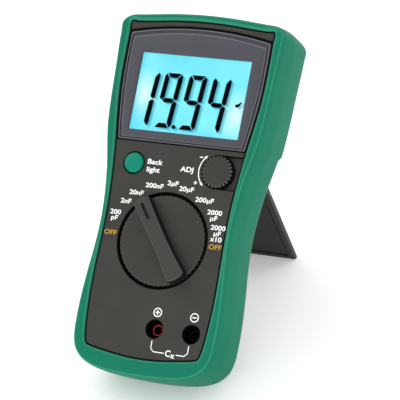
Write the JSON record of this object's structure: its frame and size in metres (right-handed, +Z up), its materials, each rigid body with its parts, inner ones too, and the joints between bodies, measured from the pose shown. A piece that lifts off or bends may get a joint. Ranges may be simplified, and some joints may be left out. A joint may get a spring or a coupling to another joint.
{
  "type": "capacitance meter",
  "caption": "Hand-held digital capacitance meter in a rubber holster, with back-lit display, rotary range switch, zero adjuster, input sockets and folding tilt stand.",
  "frame": {"origin": "on the bench, under the centre of the bounding box", "axes": "+X to the right across the face, +Y from the front of the bench to the back, +Z up; the face leans back and looks towards -Y and +Z"},
  "size_m": [0.0924, 0.1534, 0.1505],
  "materials": {
    "green_rubber": "matt moulded rubber",
    "dark_panel": "fine textured dark grey moulding",
    "bezel_plastic": "smooth satin purplish grey moulding",
    "clear_lens": "clear polished window",
    "lcd_glass": "back-lit liquid crystal glass",
    "diffuser": "milky light guide",
    "white_plastic": "natural nylon",
    "elastomer": "striped elastomer",
    "led_white": "moulded lamp",
    "board_green": "solder-masked laminate",
    "chip_black": "poured resin",
    "capacitor_sleeve": "shrink sleeve",
    "steel": "bright plated steel",
    "knob_plastic": "fine textured dark grey moulding",
    "pot_blue": "blue moulded case",
    "button_green": "satin moulded cap",
    "black_plastic": "black moulding",
    "red_plastic": "red moulding",
    "brass": "turned and plated",
    "fuse_glass": "thin glass tube",
    "battery_jacket": "printed jacket",
    "stand_plastic": "fine textured dark grey moulding"
  },
  "bodies": {
    "meter_body": {"adjust_potentiometer": "pot_blue", "backlight_diffuser": "diffuser", "backlight_led_left": "led_white", "backlight_led_right": "led_white", "battery": "battery_jacket", "battery_cover": "dark_panel", "battery_lead_black": "black_plastic", "battery_lead_red": "red_plastic", "battery_snap": "black_plastic", "board_screw_1": "steel", "board_screw_2": "steel", "case_screw_1": "steel", "case_screw_2": "steel", "case_screw_3": "steel", "case_screw_4": "steel", "converter_chip": "chip_black", "cover_screw": "steel", "crystal": "steel", "detent_ring": "white_plastic", "display_bezel": "bezel_plastic", "display_lens": "clear_lens", "front_housing": "dark_panel", "fuse_cap_1": "steel", "fuse_cap_2": "steel", "fuse_clip_1": "brass", "fuse_clip_2": "brass", "fuse_tube": "fuse_glass", "holster": "green_rubber", "lcd_frame": "white_plastic", "lcd_panel": "lcd_glass", "main_board": "board_green", "minus_socket_contact": "brass", "minus_socket_insulator": "black_plastic", "plus_socket_contact": "brass", "plus_socket_insulator": "red_plastic", "rear_housing": "dark_panel", "reference_capacitor": "capacitor_sleeve", "tact_switch": "black_plastic", "zebra_strip": "elastomer"},
    "stand": {"tilt_stand": "stand_plastic"},
    "range_switch": {"range_knob": "knob_plastic", "switch_rotor": "white_plastic", "detent_ball_1": "steel", "detent_ball_2": "steel", "detent_spring_1": "steel", "detent_spring_2": "steel", "wiper_contact_1": "brass", "wiper_contact_2": "brass"},
    "backlight_key": {"backlight_button": "button_green", "tact_plunger": "black_plastic"},
    "adjuster": {"adjust_knob": "knob_plastic", "adjust_shaft": "white_plastic"}
  },
  "joints": [
    {"name": "stand_hinge", "type": "hinge", "parent": "meter_body", "child": "stand", "pos_m": [0, 0.03104, 0.08103], "axis": [1, 0, 0], "range_deg": [-65.4, 0]},
    {"name": "range_switch_turn", "type": "hinge", "parent": "meter_body", "child": "range_switch", "pos_m": [0, -0.02807, 0.06817], "axis": [0, -0.7071, 0.7071], "range_deg": [-126, 54]},
    {"name": "backlight_key_press", "type": "slide", "parent": "meter_body", "child": "backlight_key", "axis": [0, 0.7071, -0.7071], "range_m": [0, 0.001], "stiffness_N_per_m": 400},
    {"name": "adjuster_turn", "type": "hinge", "parent": "meter_body", "child": "adjuster", "pos_m": [0.0229, -0.00163, 0.09461], "axis": [0, -0.7071, 0.7071], "range_deg": [-135, 135]}
  ]
}
